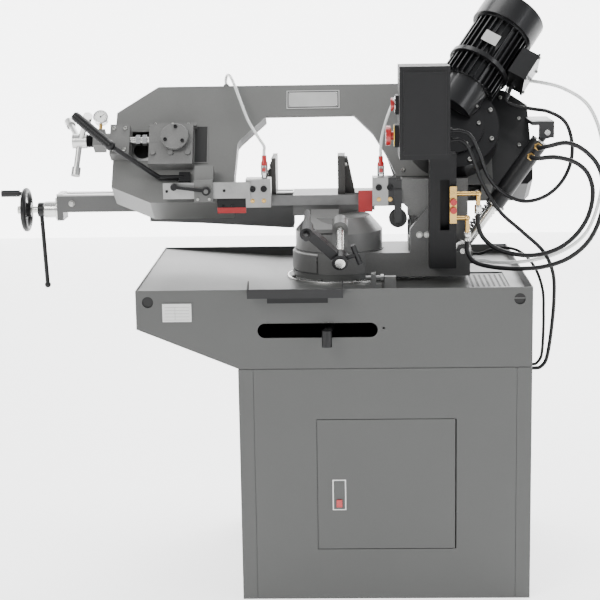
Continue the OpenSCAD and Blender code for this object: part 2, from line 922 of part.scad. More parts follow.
module pull_handle() color("black")
  head() {
    block(-545, -515, -69, -55, 28, 56);
    link([-530, -64, 42], [-598, -66, 41], 7);
    translate([-598, -66, 41])
      sphere(r = 8);
    link([-598, -66, 41], [-716, -188, 79], 7);
    translate([-716, -188, 79])
      sphere(r = 14);
    link([-716, -188, 79], [-811, -203, 160], 12.5);
    link([-811, -203, 160], [-814, -203.5, 162.6], 10);
  }

module tension_mount() color("dimgray")
  head()
    difference() {
      union() {
        block(-627, -508, -92, -55, 70, 133.7);
        block(-630, -500, -80, -55, 190.3, 200);
        block(-733, -680, -95, -55, 100, 189);
        bar_x(-747, -733, tension_d, tension_v, 19.9);
        block(-779, -747, -98, -52, 126, 174);
        block(-508, -469, -57, -55, 88, 201);
        for (x = [-615, -567, -520])
          translate([x, -92, 102])
            rotate([90, 0, 0])
              hex_head(13, 6);
      }
      bar_x(-780, -679, tension_d, tension_v, screw_r + fit);
    }

module tension_handle() color("silver")
  head()
    translate([-818, tension_d, tension_v]) {
      bar_x(20, 215, 0, 0, screw_r);
      bar_x(-19, 20, 0, 0, 20);
      for (q = [[-38, 44, 76], [32, -85, 23], [-8, 11, -86]]) {
        link(0.14 * q, 0.9 * q, 8);
        link(0.88 * q, 1.14 * q, 12.5);
      }
    }

module tension_slide() color("dimgray")
  head() {
    difference() {
      block(-627, -508, -92, -57.5, 134, 190);
      bar_x(-628, -590, tension_d, tension_v, screw_r + 0.3);
    }
    bar_y(-556, -101, -92, 162, 19);
    bar_y(idler_x, -57.5, 16, wheel_v, 20);
  }

module band_wheel(x) {
  difference() {
    bar_y(x, -wheel_w / 2, wheel_w / 2, wheel_v, wheel_r, $fn = 96);
    bar_y(x, -wheel_w / 2 - 1, -5, wheel_v, wheel_r - 14);
    bar_y(x, 5, wheel_w / 2 + 1, wheel_v, wheel_r - 14);
    for (a = [0:60:300])
      translate([x + 88 * cos(a), 0, wheel_v + 88 * sin(a)])
        rotate([90, 0, 0])
          cylinder(h = 40, r = 26, center = true);
  }
}

module idler_wheel() color("silver")
  head()
    difference() {
      union() {
        band_wheel(idler_x);
        bar_y(idler_x, -15, 15, wheel_v, 34);
      }
      bar_y(idler_x, -16, 16, wheel_v, 20 + fit);
    }

module drive_wheel() color("silver")
  head() {
    band_wheel(drive_x);
    bar_y(drive_x, -15, 22, wheel_v, 34);
    bar_y(drive_x, -100, -14, wheel_v, 20);
  }

// the bridge and the two pads that steady the blade
module blade_guide(x0, x1) {
  block(x0, x1, -75, -20, 1000, 1076);
  block(x0 + 4, x1 - 4, -20, -0.95, 1003, 1034);
  block(x0 + 4, x1 - 4, -20, 5.5, 1024.5, 1034);
  block(x0 + 4, x1 - 4, 0.95, 5.5, 1003, 1025);
}

// the coolant valve on top of a guide
module valve(x, z) {
  bar_z(x, -48, z, z + 61, 5);
  bar_z(x, -48, z + 14, z + 34, 9);
  block(x - 4, x + 4, -62, -50, z + 20, z + 28);
}

module right_guide() color("black") {
  blade_guide(-24, 40);
  block(-61, -24, -60, -52, 983, 1040);
  block(40, 54, -74.5, -45, 1020, 1070);
  block(34, 54, -80, -74.5, 955, 1045);
  bar_y(44, -80, -14, 965, 5 - fit);
  valve(-1, 1076 - 6);
}

module blade_brush() color("black")
  difference() {
    union() {
      bar_y(44, -72, -44, 965, 24);
      bar_y(44, -44, -18, 965, 12);
    }
    bar_y(44, -73, -17, 965, 5);
  }

module left_guide() color("dimgray") {
  blade_guide(-363, -296);
  block(-584, -350, -81, -69, 1026, 1069);
  block(-440, -363, -69, -66, 985, 1024);
  block(-372, -355, -69, -50, 1004, 1022);
  valve(-313, 1076);
}

module guide_clamp() color("gray") {
  difference() {
    union() {
      block(-500, -450, -90, -62, 1018, 1077);
      head()
        block(-500, -450, -98, -55, 18, 60);
    }
    block(-501, -449, -81.1, -68.9, 1025.9, 1069.1);
  }
  bar_y(-467, -106, -90, 1048, 6 - fit);
}

module guide_lock_lever() color("black") {
  difference() {
    bar_y(-467, -104, -90.5, 1048, 11);
    bar_y(-467, -105, -89, 1048, 6);
  }
  translate([-467, -97, 1048])
    rotate([0, 8, 0])
      translate([-84, -4, -4])
        cube([76, 8, 8]);
  bar_y(-553, -104, -90, 1060, 9);
}

// ---------- damper and spring ----------

module damper_barrel() color("black")
  damper_axis() {
    difference() {
      union() {
        translate([0, 0, -240])
          cylinder(h = 212, r = 24);
        translate([0, 0, -30])
          cylinder(h = 20, r = 9.5);
        rotate([90, 0, 0])
          cylinder(h = 19.4, r = 17, center = true);
      }
      translate([0, 0, -226])
        cylinder(h = 188, r = 20);
      translate([0, 0, -241])
        cylinder(h = 30, r = 12 + fit);
      rotate([90, 0, 0])
        cylinder(h = 30, r = 8 + fit, center = true);
    }
    for (z = [-44, -76])
      translate([0, -21, z])
        rotate([90, 0, 0])
          cylinder(h = 15, r = 8);
  }

module damper_rod() color("silver")
  damper_axis() {
    translate([0, 0, -damper_len + 18])
      cylinder(h = damper_len - 144, r = 12);
    translate([0, 0, -138])
      cylinder(h = 12, r = 19.6);
    translate([0, 0, -damper_len])
      difference() {
        rotate([90, 0, 0])
          cylinder(h = 19, r = 24, center = true);
        rotate([90, 0, 0])
          cylinder(h = 24, r = 16, center = true);
      }
  }

module return_spring() color("black")
  translate([240, 124, 884])
    rotate([0, 40, 0])
      for (i = [0:13])
        translate([0, 0, 10 * i])
          rotate([8, 0, 0])
            rotate_extrude($fn = 24)
              translate([17, 0])
                circle(r = 2.6, $fn = 8);

// ---------- hoses and cables ----------

module hose_upper() color("black")
  tube(hose_upper_route, 6, 10);

module hose_lower() color("black")
  tube(hose_lower_route, 6, 10);

module motor_cable() color("black")
  tube(motor_cable_route, 5, 8);

module control_cable() color("black")
  tube(control_cable_route, 5, 8);

module pump_cable() color("black")
  tube(pump_cable_route, 4, 8);

module coolant_hose() color("whitesmoke")
  tube(coolant_hose_route, 5, 8);

module tube_left() color("whitesmoke")
  tube(tube_left_route, 4, 8);

module tube_right() color("whitesmoke")
  tube(tube_right_route, 4, 8);

cabinet_sides();
cabinet_front();
cabinet_back();
cabinet_floor();
cabinet_door();
latch_button();
casing_front();
casing_shell();
tray_pan();
drain_screen();
offcut_shelf();
miter_stop();
coolant_tank();
turntable_base();
pivot_post();
miter_lock_lever();
vise_table();
vise_bed();
fixed_jaw();
lead_screw();
handwheel();
movable_jaw();
clamp_lever();
stop_rod();
stop_arm();
swivel_arm();
control_post();
control_box();
hydraulic_manifold();
emergency_button();
start_button();
head_frame();
rear_cover();
pivot_bracket();
gearbox();
motor();
terminal_box();
saw_blade();
pull_handle();
tension_mount();
tension_handle();
tension_slide();
idler_wheel();
drive_wheel();
right_guide();
blade_brush();
left_guide();
guide_clamp();
guide_lock_lever();
damper_barrel();
damper_rod();
return_spring();
hose_upper();
hose_lower();
motor_cable();
control_cable();
pump_cable();
coolant_hose();
tube_left();
tube_right();
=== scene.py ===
import bpy, bmesh, math
from mathutils import Matrix, Vector


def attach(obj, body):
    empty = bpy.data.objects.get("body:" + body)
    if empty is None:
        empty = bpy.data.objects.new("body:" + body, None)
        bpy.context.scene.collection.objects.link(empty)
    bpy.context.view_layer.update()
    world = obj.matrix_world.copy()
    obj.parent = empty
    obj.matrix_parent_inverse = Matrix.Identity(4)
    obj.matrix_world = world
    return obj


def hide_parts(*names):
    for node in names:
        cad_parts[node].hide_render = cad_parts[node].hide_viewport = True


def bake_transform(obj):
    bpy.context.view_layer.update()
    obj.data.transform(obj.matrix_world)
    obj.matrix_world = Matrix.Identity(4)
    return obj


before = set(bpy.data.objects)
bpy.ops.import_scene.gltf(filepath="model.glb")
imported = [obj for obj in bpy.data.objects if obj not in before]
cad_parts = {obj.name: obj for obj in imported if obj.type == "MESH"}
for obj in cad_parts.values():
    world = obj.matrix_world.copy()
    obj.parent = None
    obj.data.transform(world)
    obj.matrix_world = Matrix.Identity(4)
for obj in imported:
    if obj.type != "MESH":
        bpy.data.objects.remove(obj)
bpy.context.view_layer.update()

# ---------- camera, in metres and radians ----------
YAW, PITCH, ROLL = -0.032045, 0.191526, 0.016394
LENS, SENSOR = 95.8, 36
CAM_AT = Vector((-0.0862, -4.318, 1.5695))
fwd = Vector((math.sin(YAW) * math.cos(PITCH), math.cos(YAW) * math.cos(PITCH), -math.sin(PITCH)))
right = Vector((math.cos(YAW), -math.sin(YAW), 0))
down = fwd.cross(right)
cam_x = math.cos(ROLL) * right + math.sin(ROLL) * down
cam_down = -math.sin(ROLL) * right + math.cos(ROLL) * down
cam_data = bpy.data.cameras.new("camera")
cam_data.lens = LENS
cam_data.sensor_width = SENSOR
camera = bpy.data.objects.new("camera", cam_data)
bpy.context.scene.collection.objects.link(camera)
camera.matrix_world = Matrix((
    (cam_x.x, -cam_down.x, -fwd.x, CAM_AT.x),
    (cam_x.y, -cam_down.y, -fwd.y, CAM_AT.y),
    (cam_x.z, -cam_down.z, -fwd.z, CAM_AT.z),
    (0, 0, 0, 1)))
bpy.context.scene.camera = camera

# ---------- frames of reference, in metres ----------
MM = 0.001
TILT = math.radians(32)
HEAD = Matrix.Translation((0, 0, 1.009)) @ Matrix.Rotation(-TILT, 4, "X")
MOTOR = HEAD @ Matrix.Translation((0.252, -0.122, 0.304)) @ Matrix.Rotation(TILT, 4, "Y")
WORLD = Matrix.Identity(4)
UPPER = Vector((0.437, -0.075, 1.192))  # the damper's two pins
LOWER = Vector((0.215, -0.075, 0.880))
DAMPER_TILT = math.atan2(UPPER.x - LOWER.x, UPPER.z - LOWER.z)
DAMPER = Matrix.Translation(UPPER) @ Matrix.Rotation(DAMPER_TILT, 4, "Y")

# ---------- directions, and the middles of round parts in millimetres ----------
OUT, RIGHT, LEFT, UP = (0, -1, 0), (1, 0, 0), (-1, 0, 0), (0, 0, 1)
TURNTABLE_X = -115
SCREW_YZ = (125, 975)
BRUSH_X, BRUSH_Z = 44, 965
DRIVE_X, DRIVE_V = 191, 155  # V is up along the tilted head
CAP_X, CAP_V = 231, 218
TENSION_X, TENSION_V = -556, 144
GAUGE_X, GAUGE_V = -763, 218
TENSION_SCREW = (-75, 150)


# ---------- materials ----------
MIX_FACTOR, MIX_A, MIX_B, MIX_RESULT = 0, 6, 7, 2  # a colour mix's own sockets
ROUGH_SPREAD = 0.08
BUMP_DEPTH = 0.0006
COAT_ROUGH = 0.15


def surface(name, color, rough=0.4, metal=0.0, grain=0.0, grain_size=400.0, tone=0.0, tone_size=4.0,
            coat=0.0, spec=0.5, brushed=None, spots=0.0, trans=0.0):
    """a paint, metal or plastic: tone is its broad unevenness, spots and grain its fine one"""
    m = bpy.data.materials.new(name)
    m.use_nodes = True
    nt = m.node_tree
    n, link = nt.nodes, nt.links.new
    b = n["Principled BSDF"]
    b.inputs["Metallic"].default_value = metal
    b.inputs["Roughness"].default_value = rough
    b.inputs["Specular IOR Level"].default_value = spec
    b.inputs["Coat Weight"].default_value = coat
    b.inputs["Coat Roughness"].default_value = COAT_ROUGH
    b.inputs["Transmission Weight"].default_value = trans
    co = n.new("ShaderNodeTexCoord")
    mp = n.new("ShaderNodeMapping")
    link(co.outputs["Object"], mp.inputs["Vector"])
    if brushed:
        mp.inputs["Scale"].default_value = brushed
    # broad changes of tone
    t = n.new("ShaderNodeTexNoise")
    t.inputs["Scale"].default_value = tone_size
    t.inputs["Detail"].default_value = 6
    t.inputs["Roughness"].default_value = 0.6
    link(co.outputs["Object"], t.inputs["Vector"])
    ramp = n.new("ShaderNodeValToRGB")
    ramp.color_ramp.elements[0].position = 0.3
    ramp.color_ramp.elements[1].position = 0.7
    ramp.color_ramp.elements[0].color = (*[x * (1 - tone) for x in color], 1)
    ramp.color_ramp.elements[1].color = (*[min(1, x * (1 + tone)) for x in color], 1)
    link(t.outputs["Fac"], ramp.inputs["Fac"])
    # fine grain
    g = n.new("ShaderNodeTexNoise")
    g.inputs["Scale"].default_value = grain_size
    g.inputs["Detail"].default_value = 3
    link(mp.outputs["Vector"], g.inputs["Vector"])
    mix = n.new("ShaderNodeMix")
    mix.data_type = "RGBA"
    mix.blend_type = "OVERLAY"
    mix.inputs[MIX_FACTOR].default_value = spots
    bw = n.new("ShaderNodeRGBToBW")
    link(g.outputs["Color"], bw.inputs["Color"])
    link(ramp.outputs["Color"], mix.inputs[MIX_A])
    link(bw.outputs["Val"], mix.inputs[MIX_B])
    link(mix.outputs[MIX_RESULT], b.inputs["Base Color"])
    rr = n.new("ShaderNodeMapRange")
    rr.inputs["To Min"].default_value = max(0.02, rough - ROUGH_SPREAD)
    rr.inputs["To Max"].default_value = min(1, rough + ROUGH_SPREAD)
    link(t.outputs["Fac"], rr.inputs["Value"])
    link(rr.outputs["Result"], b.inputs["Roughness"])
    if grain:
        bump = n.new("ShaderNodeBump")
        bump.inputs["Strength"].default_value = grain
        bump.inputs["Distance"].default_value = BUMP_DEPTH
        link(g.outputs["Fac"], bump.inputs["Height"])
        link(bump.outputs["Normal"], b.inputs["Normal"])
    return m


M = {
    "cabinet": surface("grey cabinet paint", (0.052, 0.053, 0.051), 0.5, grain=0.35, grain_size=900, tone=0.06,
                       spots=0.35),
    "head": surface("grey head paint", (0.105, 0.106, 0.102), 0.42, grain=0.3, grain_size=700, tone=0.07,
                    spots=0.3),
    "tray": surface("grey tray paint", (0.055, 0.056, 0.054), 0.42, grain=0.3, grain_size=700, tone=0.08,
                    spots=0.3),
    "table": surface("light machined iron", (0.11, 0.11, 0.107), 0.4, 0.0, 0.25, 300, 0.12, 9,
                     brushed=(1, 1, 6), spots=0.2),
    "arm": surface("light grey casting", (0.085, 0.085, 0.083), 0.45, 0.0, 0.5, 350, 0.12, 7, spots=0.25),
    "dark_iron": surface("dark phosphated iron", (0.045, 0.044, 0.042), 0.45, 0.5, 0.45, 420, 0.2, 12,
                         spots=0.3),
    "iron": surface("grey iron casting", (0.12, 0.12, 0.117), 0.5, 0.35, 0.6, 320, 0.16, 10, spots=0.3),
    # black paint for black parts, also used as painted shade on the drain screen and the upper part of the
    # guard
    "black": surface("black satin paint and painted shade", (0.006, 0.006, 0.0065), 0.4, grain=0.3, grain_size=800, tone=0.2,
                     spots=0.2, spec=0.25),
    "box_black": surface("black textured enclosure", (0.005, 0.005, 0.0055), 0.5, grain=0.7, grain_size=1400,
                         tone=0.15, spec=0.25),
    "motor_black": surface("black motor enamel", (0.005, 0.005, 0.0055), 0.34, grain=0.3, grain_size=300,
                           tone=0.2, coat=0.3, spec=0.25),
    "steel": surface("bright turned steel", (0.62, 0.62, 0.6), 0.24, 1.0, 0.15, 500, 0.08, 20,
                     brushed=(1, 8, 1)),
    "blade": surface("blade steel", (0.16, 0.16, 0.158), 0.36, 1.0, 0.2, 700, 0.1, 30, brushed=(1, 30, 30)),
    "alu": surface("cast aluminium", (0.55, 0.55, 0.54), 0.33, 1.0, 0.5, 260, 0.12, 14),
    "alu_dull": surface("dull machined aluminium", (0.3, 0.3, 0.295), 0.4, 0.8, 0.5, 300, 0.15, 16),
    "chrome": surface("chrome", (0.75, 0.75, 0.75), 0.09, 1.0, tone=0.03),
    "zinc": surface("zinc-plated bolts", (0.42, 0.42, 0.4), 0.3, 1.0, 0.2, 600, 0.12, 40),
    "brass": surface("brass", (0.66, 0.43, 0.15), 0.28, 1.0, 0.2, 400, 0.15, 30),
    "plastic": surface("black plastic", (0.006, 0.006, 0.0065), 0.34, grain=0.25, grain_size=900, tone=0.1,
                       spec=0.25),
    "rubber": surface("black hose rubber", (0.006, 0.006, 0.0065), 0.42, grain=0.35, grain_size=600, tone=0.15,
                      spec=0.25),
    "tube": surface("milky tube", (0.72, 0.73, 0.72), 0.25, tone=0.03, trans=0.25, coat=0.3),
    "red": surface("red plastic", (0.36, 0.004, 0.006), 0.35, tone=0.06, coat=0.4),
    "red_paint": surface("red guard paint", (0.3, 0.004, 0.006), 0.42, grain=0.3, grain_size=800, tone=0.08),
    "yellow": surface("yellow plastic", (0.75, 0.5, 0.03), 0.4, tone=0.05),
    "white": surface("white plastic", (0.78, 0.78, 0.76), 0.35, tone=0.03),
    "plate": surface("etched plate", (0.5, 0.5, 0.49), 0.35, 0.6, 0.1, 900, 0.06, 20, brushed=(1, 1, 20)),
    "bristle": surface("brush bristles", (0.02, 0.02, 0.02), 0.6, grain=0.9, grain_size=1500, tone=0.3),
    # dark print and seams, also used as painted shade inside the casing holes and on a recess of the head
    "dark_print_seam_and_shade": surface("dark print, seams and painted shade", (0.01, 0.01, 0.01), 0.8, tone=0.1),
}


def two_tone(name, low, high, along, edge):
    """low below the edge and high above it, on an object axis; each is (colour, roughness, metallic)"""
    m = surface(name, *low, grain=0.35, grain_size=600, tone=0.08, spots=0.3)
    nt = m.node_tree
    b = nt.nodes["Principled BSDF"]
    link = nt.links.new
    co = nt.nodes.new("ShaderNodeTexCoord")
    xyz = nt.nodes.new("ShaderNodeSeparateXYZ")
    link(co.outputs["Object"], xyz.inputs["Vector"])
    step = nt.nodes.new("ShaderNodeMath")
    step.operation = "GREATER_THAN"
    step.inputs[1].default_value = edge
    link(xyz.outputs[along], step.inputs[0])
    old = b.inputs["Base Color"].links[0].from_socket
    mix = nt.nodes.new("ShaderNodeMix")
    mix.data_type = "RGBA"
    mix.inputs[MIX_B].default_value = (*high[0], 1)
    link(step.outputs[0], mix.inputs[MIX_FACTOR])
    link(old, mix.inputs[MIX_A])
    link(mix.outputs[MIX_RESULT], b.inputs["Base Color"])
    metal = nt.nodes.new("ShaderNodeMapRange")
    metal.inputs["To Min"].default_value = low[2]
    metal.inputs["To Max"].default_value = high[2]
    link(step.outputs[0], metal.inputs["Value"])
    link(metal.outputs["Result"], b.inputs["Metallic"])
    return m


# the head frame is grey, and black to the right of X = 0.30 m
M["head_split"] = two_tone("head paint, black right of X 0.30 m", ((0.105, 0.106, 0.102), 0.42, 0.0),
                           ((0.007, 0.007, 0.0075), 0.4, 0.0), "X", 0.30)
M["guide_split"] = two_tone("guide metal, black at the right", ((0.3, 0.3, 0.295), 0.4, 0.8),
                            ((0.006, 0.006, 0.0065), 0.4, 0.0), "X", 0.018)
M["bed_split"] = two_tone("vise paint with machined top", ((0.07, 0.07, 0.069), 0.42, 0.0),
                          ((0.42, 0.42, 0.41), 0.32, 0.9), "Z", 1.0165)

NODE_MATS = {
    "cabinet": "cabinet_sides cabinet_front cabinet_back cabinet_floor cabinet_door casing_front casing_shell",
    "tray": "tray_pan turntable_base",
    "bed_split": "vise_bed",
    "head": "rear_cover guide_clamp",
    "head_split": "head_frame",
    "table": "vise_table",
    "arm": "swivel_arm",
    "iron": "tension_mount tension_slide pivot_bracket",
    "dark_iron": "fixed_jaw movable_jaw",
    "alu_dull": "left_guide miter_stop",
    # the drain screen is black as painted shade of the drain opening under it
    "black": "drain_screen offcut_shelf stop_arm control_post damper_barrel coolant_tank return_spring "
             "miter_lock_lever",
    "box_black": "control_box",
    "motor_black": "motor terminal_box gearbox",
    "steel": "pivot_post lead_screw stop_rod damper_rod",
    "blade": "saw_blade",
    "alu": "tension_handle idler_wheel drive_wheel",
    "guide_split": "right_guide",
    "plastic": "handwheel clamp_lever pull_handle guide_lock_lever",
    "bristle": "blade_brush",
    "red": "latch_button emergency_button start_button",
    "brass": "hydraulic_manifold",
    "rubber": "hose_upper hose_lower motor_cable control_cable pump_cable",
    "tube": "coolant_hose tube_left tube_right",
}
SHARP = math.radians(35)
for key, names in NODE_MATS.items():
    for name in names.split():
        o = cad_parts[name]
        o.data.materials.clear()
        o.data.materials.append(M[key])

# soft edges on the sheet and cast parts, in millimetres
BEVELS = {
    "cabinet_sides": 1.2, "cabinet_front": 0.8, "cabinet_door": 0.8, "casing_front": 0.9, "casing_shell": 0.9,
    "tray_pan": 0.8, "vise_bed": 2.5, "head_frame": 0.9, "rear_cover": 0.9, "vise_table": 2.0,
    "swivel_arm": 2.5,
    "control_box": 2.5, "control_post": 2.0, "fixed_jaw": 1.2, "movable_jaw": 1.2, "offcut_shelf": 0.8,
    "stop_arm": 1.0, "tension_mount": 1.2, "tension_slide": 1.2, "pivot_bracket": 1.5, "gearbox": 2.5,
    "left_guide": 0.8, "right_guide": 0.8, "guide_clamp": 1.0, "terminal_box": 2.5, "handwheel": 0.8,
    "miter_stop": 0.8, "turntable_base": 1.0, "damper_barrel": 1.0, "hydraulic_manifold": 0.8,
    "emergency_button": 1.5, "start_button": 1.0, "motor": 0.6,
}
for name, size in BEVELS.items():
    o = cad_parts[name]
    mod = o.modifiers.new("soft edges", "BEVEL")
    mod.width = size * MM
    mod.segments = 2
    mod.limit_method = "ANGLE"
    mod.angle_limit = SHARP
    mod.use_clamp_overlap = True
    mod.harden_normals = True


# ---------- shape helpers, in millimetres ----------
class Kit:
    """several shapes of one finish, joined as one piece that rides on a body"""

    def __init__(self, name, mat, body, place=WORLD, bevel=0.3):
        self.name, self.mat, self.body, self.place, self.bevel = name, mat, body, place, bevel
        self.bm = bmesh.new()

    def box(self, x0, x1, y0, y1, z0, z1):
        m = Matrix.Translation(((x0 + x1) / 2, (y0 + y1) / 2, (z0 + z1) / 2)) @ Matrix.Diagonal(
            (x1 - x0, y1 - y0, z1 - z0, 1))
        bmesh.ops.create_cube(self.bm, size=1, matrix=m)

    def lathe(self, at, axis, profile, n=28):
        """profile is (distance along the axis, radius) from one end to the other"""
        turn = Vector(axis).normalized().to_track_quat("Z", "Y").to_matrix().to_4x4()
        m = Matrix.Translation(at) @ turn
        turns = [2 * math.pi * k / n for k in range(n)]
        rows = []
        for h, r in profile:
            ring = [(r * math.cos(a), r * math.sin(a), h) for a in turns]
            rows.append([self.bm.verts.new(m @ Vector(q)) for q in (ring if r else [(0, 0, h)])])
        for a, b in zip(rows, rows[1:]):
            for k in range(n):
                j = (k + 1) % n
                if len(a) == 1 and len(b) > 1:
                    self.bm.faces.new((a[0], b[j], b[k]))
                elif len(b) == 1 and len(a) > 1:
                    self.bm.faces.new((a[k], a[j], b[0]))
                elif len(a) > 1:
                    self.bm.faces.new((a[k], a[j], b[j], b[k]))

    def rod(self, p, q, r, n=20):
        length = (Vector(q) - Vector(p)).length
        self.lathe(p, Vector(q) - Vector(p), [(0, 0), (0, r), (length, r), (length, 0)], n)

    def hex_bolt(self, at, axis, size):
        """a washer and a hexagon head, size across the flats"""
        self.lathe(at, axis, [(0, 0), (0, size * 0.68), (size * 0.1, size * 0.68), (size * 0.1, 0)], 20)
        self.lathe(at, axis, [(size * 0.1, 0), (size * 0.1, size * 0.577), (size * 0.42, size * 0.577),
                              (size * 0.5, size * 0.48), (size * 0.5, 0)], 6)

    def cap_screw(self, at, axis, r):
        self.lathe(at, axis, [(0, 0), (0, r), (r * 0.9, r), (r * 1.05, r * 0.85), (r * 1.05, r * 0.5),
                              (r * 0.45, r * 0.48), (r * 0.45, 0)], 20)

    def screw_circle(self, x, y, z, radius, count, first, r):
        """cap screws evenly round a centre, from the angle first in degrees"""
        for j in range(count):
            a = math.radians(first + 360 / count * j)
            self.cap_screw((x + radius * math.cos(a), y, z + radius * math.sin(a)), OUT, r)

    def done(self):
        bmesh.ops.transform(self.bm, matrix=Matrix.Scale(MM, 4), verts=self.bm.verts)
        bmesh.ops.transform(self.bm, matrix=self.place, verts=self.bm.verts)
        bmesh.ops.recalc_face_normals(self.bm, faces=self.bm.faces)
        me = bpy.data.meshes.new(self.name)
        self.bm.to_mesh(me)
        self.bm.free()
        for f in me.polygons:
            f.use_smooth = True
        me.set_sharp_from_angle(angle=SHARP)
        me.materials.append(M[self.mat])
        o = bpy.data.objects.new(self.name, me)
        bpy.context.scene.collection.objects.link(o)
        if self.bevel:
            mod = o.modifiers.new("soft edges", "BEVEL")
            mod.width = self.bevel * MM
            mod.segments = 1
            mod.limit_method = "ANGLE"
            mod.angle_limit = SHARP
            mod.harden_normals = True
        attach(o, self.body)


def smooth_route(points, steps=10):
    """points on a smooth curve through the route"""
    p = [Vector(q) for q in points]
    out = []
    for i in range(len(p) - 1):
        a, b, c, d = p[max(i - 1, 0)], p[i], p[i + 1], p[min(i + 2, len(p) - 1)]
        for k in range(steps):
            t = k / steps
            out.append(0.5 * (2 * b + (c - a) * t + (2 * a - 5 * b + 4 * c - d) * t * t
                              + (3 * b - a - 3 * c + d) * t ** 3))
    out.append(p[-1])
    return out


ANY_SIDE = Vector((0.31, 0.83, 0.46))  # along no cord, so the first ring can turn from it


def cord(node, points, r, mat, bodies, n=20):
    """a smooth tube of radius r along points, both in millimetres, that stands for the CAD cord"""
    path = [q * MM for q in smooth_route(points)]
    bm = bmesh.new()
    turns = [2 * math.pi * k / n for k in range(n)]
    u = None
    rows = []
    for i, q in enumerate(path):
        t = (path[min(i + 1, len(path) - 1)] - path[max(i - 1, 0)]).normalized()
        u = (t.cross(ANY_SIDE) if u is None else u - u.dot(t) * t).normalized()
        w = t.cross(u)
        rows.append([bm.verts.new(q + r * MM * (math.cos(a) * u + math.sin(a) * w)) for a in turns])
    for a, b in zip(rows, rows[1:]):
        for k in range(n):
            bm.faces.new((a[k], a[(k + 1) % n], b[(k + 1) % n], b[k]))
    bm.faces.new(list(reversed(rows[0])))
    bm.faces.new(rows[-1])
    bmesh.ops.recalc_face_normals(bm, faces=bm.faces)
    me = bpy.data.meshes.new(node + "_smooth")
    bm.to_mesh(me)
    bm.free()
    for f in me.polygons:
        f.use_smooth = len(f.vertices) == 4
    me.materials.append(M[mat])
    o = bpy.data.objects.new(node + "_smooth", me)
    bpy.context.scene.collection.objects.link(o)
    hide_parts(node)
    if len(bodies) == 1:
        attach(o, bodies[0])
    else:
        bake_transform(o)


# ---------- hoses and cables ----------
cord("hose_upper", [
    (250, -166, 990), (250, -166, 976), (250, -166, 962), (262, -166, 928), (295, -163, 898), (345, -158, 880),
    (405, -154, 876), (465, -152, 894), (510, -150, 930), (540, -150, 980), (550, -150, 1040),
    (535, -152, 1090), (500, -156, 1120), (450, -164, 1134), (410, -158, 1131), (392.9, -139, 1130.1),
    (392.9, -125, 1130.1), (392.9, -111.1, 1130.1),
], 6, "rubber", ("swivel", "saw_head"))
cord("hose_lower", [
    (222, -166, 918), (222, -166, 904), (222, -166, 890), (240, -166, 862), (285, -166, 848), (350, -166, 842),
    (420, -166, 846), (485, -168, 868), (535, -170, 910), (565, -172, 970), (575, -172, 1040),
    (562, -172, 1105), (525, -172, 1150), (478, -178, 1172), (432, -172, 1164), (411.5, -147, 1156.1),
    (411.5, -129, 1156.1), (411.5, -111.1, 1156.1),
], 6, "rubber", ("swivel", "saw_head"))
cord("motor_cable", [
    (183.1, -156, 1205), (193, -156, 1205), (203, -156, 1205), (230, -154, 1192), (254, -145, 1145),
    (278, -132, 1085), (315, -124, 1040), (370, -122, 1015), (425, -122, 1025), (470, -115, 1060),
    (498, -95, 1110), (505, -65, 1165), (490, -35, 1215), (450, -12, 1240), (405, -2, 1248), (362, 8, 1256),
    (339.6, 18.1, 1269.1), (347, 31, 1288.5), (354.7, 40.9, 1304.4),
], 5, "rubber", ("swivel", "saw_head"))
cord("control_cable", [
    (183.1, -156, 1181), (193, -156, 1181), (203, -156, 1181), (223, -155, 1165), (242, -150, 1120),
    (266, -146, 1060), (310, -142, 990), (370, -138, 935), (425, -134, 882), (452, -130, 822),
    (456, -126, 750), (452, -120, 680), (446, -114, 620), (438, -110, 580), (424, -110, 563), (412, -110, 560),
    (401, -110, 560), (391.1, -110, 560),
], 5, "rubber", ("swivel", "base"))
cord("pump_cable", [
    (251.1, 20, 853), (262, 20, 853), (273, 20, 853), (300, 22, 862), (335, 28, 868), (380, 10, 858),
    (415, -20, 822), (435, -45, 765), (437, -60, 700), (436, -65, 640), (432, -65, 585), (420, -65, 564),
    (411, -65, 560), (401, -65, 560), (391.1, -65, 560),
], 4, "rubber", ("swivel", "base"))
cord("coolant_hose", [
    (352, 140, 1286), (362, 134, 1306), (392, 120, 1316), (440, 100, 1312), (500, 75, 1296), (560, 45, 1255),
    (592, 15, 1180), (598, -10, 1090), (585, -30, 1000), (548, -45, 915), (480, -50, 866), (390, -50, 842),
    (310, -50, 840), (278, -50, 844.5), (269, -50, 845), (260, -50, 845), (251.1, -50, 845),
], 5, "tube", ("saw_head", "swivel"))
cord("tube_left", [
    (-424, 143, 1315), (-426, 152, 1328), (-421, 140, 1341), (-412, 120, 1341), (-400, 92, 1322),
    (-382, 62, 1280), (-358, 22, 1225), (-330, -22, 1185), (-313, -48, 1162), (-313, -48, 1149),
    (-313, -48, 1137.1),
], 4, "tube", ("saw_head", "guide"))
cord("tube_right", [
    (-1, -48, 1131.1), (-1, -48, 1141), (-1, -48, 1151), (4, -32, 1185), (16, -8, 1225), (30, 22, 1258),
    (40, 46, 1277), (44, 67, 1275), (44, 84, 1264.3),
], 4, "tube", ("saw_head",))
